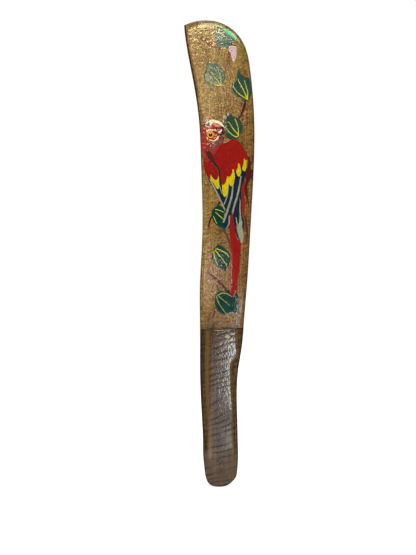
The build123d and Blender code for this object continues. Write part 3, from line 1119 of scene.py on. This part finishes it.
def plain_floor():
    """A round pale floor under the butt. Mirrored, it is dim but for a patch in front of the grip."""
    mesh = bpy.data.meshes.new("floor")
    rim_points = oval(0, 0, FLOOR_WIDTH, FLOOR_WIDTH, 96)
    low = cad_box[0][2]
    mesh.from_pydata([(x, y, low) for x, y in rim_points], [], [range(len(rim_points))])
    material, shader, where = new_material("floor")
    tree = material.node_tree
    fill(shader, {"Base Color": (0.8, 0.8, 0.8, 1), "Roughness": 1.0, "Specular IOR Level": 0.0})
    fill(shader, {"Emission Color": (1, 1, 1, 1), "Emission Strength": 0.75})
    place = node(tree, "SeparateXYZ", {"Vector": where})
    beside = math_node("ABSOLUTE", place.outputs["X"])
    in_front = narrow(place.outputs["Y"], -0.1, -0.2)
    patch_share = multiply(in_front, narrow(beside, 0.24, 0.12))
    strength = math_node("ADD", multiply(patch_share, 1.4), 0.06)
    mirrored = node(tree, "Emission", {"Color": (0.86, 0.96, 1.06, 1), "Strength": strength})
    is_glossy = node(tree, "LightPath").outputs["Is Glossy Ray"]
    mixed = node(tree, "MixShader", {0: is_glossy, 1: shader.outputs[0], 2: mirrored.outputs[0]})
    fill(tree.nodes["Material Output"], {"Surface": mixed.outputs[0]})
    mesh.materials.append(material)
    placed("floor", mesh)


def surroundings():
    """White to the camera, soft light on the wood, and dim where the varnish mirrors it."""
    world = bpy.data.worlds.new("surroundings")
    bpy.context.scene.world = world
    world.use_nodes = True
    tree = world.node_tree
    tree.nodes.clear()
    path = node(tree, "LightPath")
    soft = node(tree, "Background", {"Color": (0.98, 0.99, 1.0, 1), "Strength": 0.3})
    direction = node(tree, "SeparateXYZ", {"Vector": node(tree, "TexCoord").outputs["Generated"]})
    overhead = multiply(narrow(direction.outputs["Z"], 0.3, 0.9), 0.35)
    strength = math_node("ADD", overhead, 0.02)
    mirrored = node(tree, "Background", {"Color": (1.0, 0.88, 0.66, 1), "Strength": strength})
    white = node(tree, "Background", {"Color": (1, 1, 1, 1), "Strength": 1.02})
    is_glossy, is_camera = path.outputs["Is Glossy Ray"], path.outputs["Is Camera Ray"]
    unseen = node(tree, "MixShader", {0: is_glossy, 1: soft.outputs[0], 2: mirrored.outputs[0]})
    seen = node(tree, "MixShader", {0: is_camera, 1: unseen.outputs[0], 2: white.outputs[0]})
    node(tree, "OutputWorld", {"Surface": seen.outputs[0]})


def panel(name, centre, size, radiance, colour, target):
    """A rectangular light of that radiance, turned to the target."""
    data = bpy.data.lights.new(name, "AREA")
    data.shape = "RECTANGLE"
    data.size, data.size_y = size
    data.color = colour
    data.energy = math.pi * size[0] * size[1] * radiance
    made = placed(name, data)
    made.location = centre
    made.rotation_euler = (Vector(target) - Vector(centre)).to_track_quat("-Z", "Y").to_euler()
    made.visible_camera = False


# Each light: its name, place, size, radiance, colour and target. The large ones light the wood and
# the paint. The small ones are there to be mirrored by the varnish.
MIDDLE, UPPER = (0, 0, 0.15), (0, 0, 0.32)
LIGHTS = [
    ("key", (-0.3, -1.3, 3.0), (1.2, 1.2), 5.4, (1, 0.98, 0.95), MIDDLE),
    ("fill", (0.9, -2.2, 1.6), (0.5, 0.5), 9.0, (1, 0.93, 0.7), MIDDLE),
    ("window", (-0.03, -2.4, 1.135), (0.14, 0.59), 24.0, (1, 0.88, 0.5), UPPER),
    ("high_window", (0.15, -2.4, 1.78), (0.55, 0.7), 10.0, (1, 0.94, 0.6), UPPER),
    ("low_window", (-0.02, -2.4, 0.64), (0.06, 0.15), 11.0, (1, 0.84, 0.46), (0, 0, 0.3)),
    ("lamp", (-0.014, -1.5, 0.138), (0.036, 0.062), 12.0, (1, 0.93, 0.86), (0, 0, 0.13)),
    ("sheen", (0.04, -0.6, -0.004), (0.034, 0.1), 15.0, (0.82, 0.94, 1), (0.042, 0, -0.007)),
    ("low_sheen", (0.016, -0.25, -0.06), (0.014, 0.03), 2.5, (0.82, 0.94, 1), (0.016, 0, -0.06)),
    ("haze", (0.043, -0.6, 0.086), (0.018, 0.028), 11.0, (0.8, 0.95, 1), (0.04, 0, 0.086)),
    ("back_fill", (0.3, 2.4, 1.7), (1.4, 1.4), 3.0, (1, 0.99, 0.97), MIDDLE),
]


def camera():
    """Level with the lower blade and square to it."""
    data = bpy.data.cameras.new("camera")
    data.lens = 85
    data.sensor_width = 36
    data.sensor_fit = "VERTICAL"
    data.sensor_height = 36
    made = placed("camera", data)
    made.location = (-0.01105, -1.2967, 0.1287)
    made.rotation_euler = (math.pi / 2, 0, 0)
    bpy.context.scene.camera = made


plain_floor()
surroundings()
for light in LIGHTS:
    panel(*light)
camera()
bpy.context.scene.view_settings.view_transform = "Standard"
